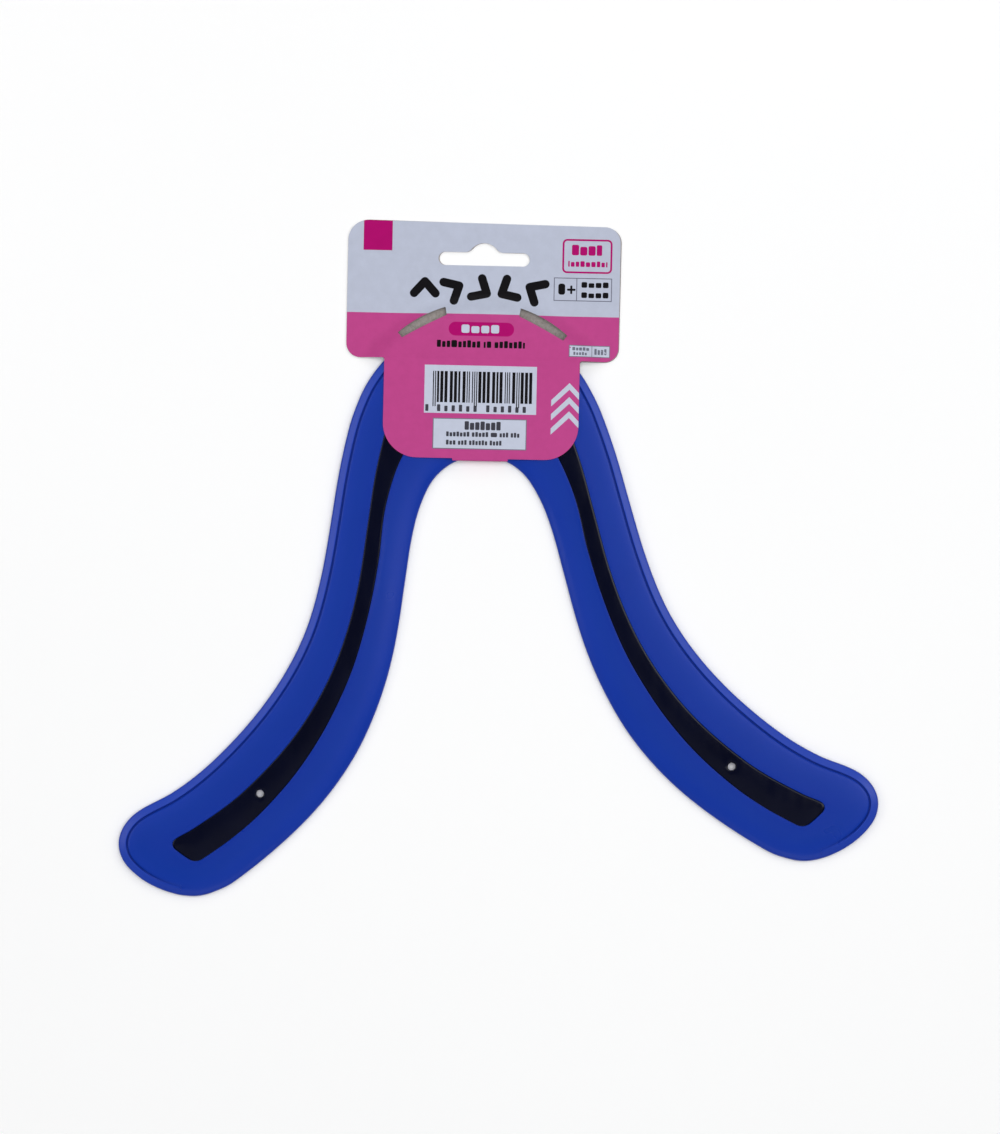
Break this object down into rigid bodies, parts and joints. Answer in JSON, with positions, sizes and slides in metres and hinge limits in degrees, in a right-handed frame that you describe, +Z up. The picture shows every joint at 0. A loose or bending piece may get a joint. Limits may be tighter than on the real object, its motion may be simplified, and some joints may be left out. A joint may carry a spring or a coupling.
{
  "type": "boomerang",
  "caption": "V-shaped throwing boomerang with a hard strip set in its arms, held in a folded header card that swings round the elbow.",
  "frame": {"origin": "middle of the whole object's box, on the ground plane that it lies on", "axes": "+X across the span, +Y from the tips towards the elbow, +Z up through the thickness"},
  "size_m": [0.2666, 0.2332, 0.0049],
  "materials": {
    "blade": "satin, fine moulded texture",
    "core": "polished",
    "card_print": "semi-gloss printed board",
    "card_board": "uncoated grey board",
    "tape": "matte"
  },
  "bodies": {
    "boomerang": {"blade": "blade", "core_strip": "core"},
    "header_card": {"card_front": "card_print", "card_fold": "card_print", "card_back": "card_board", "tape_left": "tape", "tape_right": "tape"}
  },
  "joints": [
    {"name": "card_swivel", "type": "hinge", "parent": "boomerang", "child": "header_card", "pos_m": [0, 0.01077, 0], "axis": [0, 0, 1], "range_deg": [-1.5, 10.5]}
  ]
}
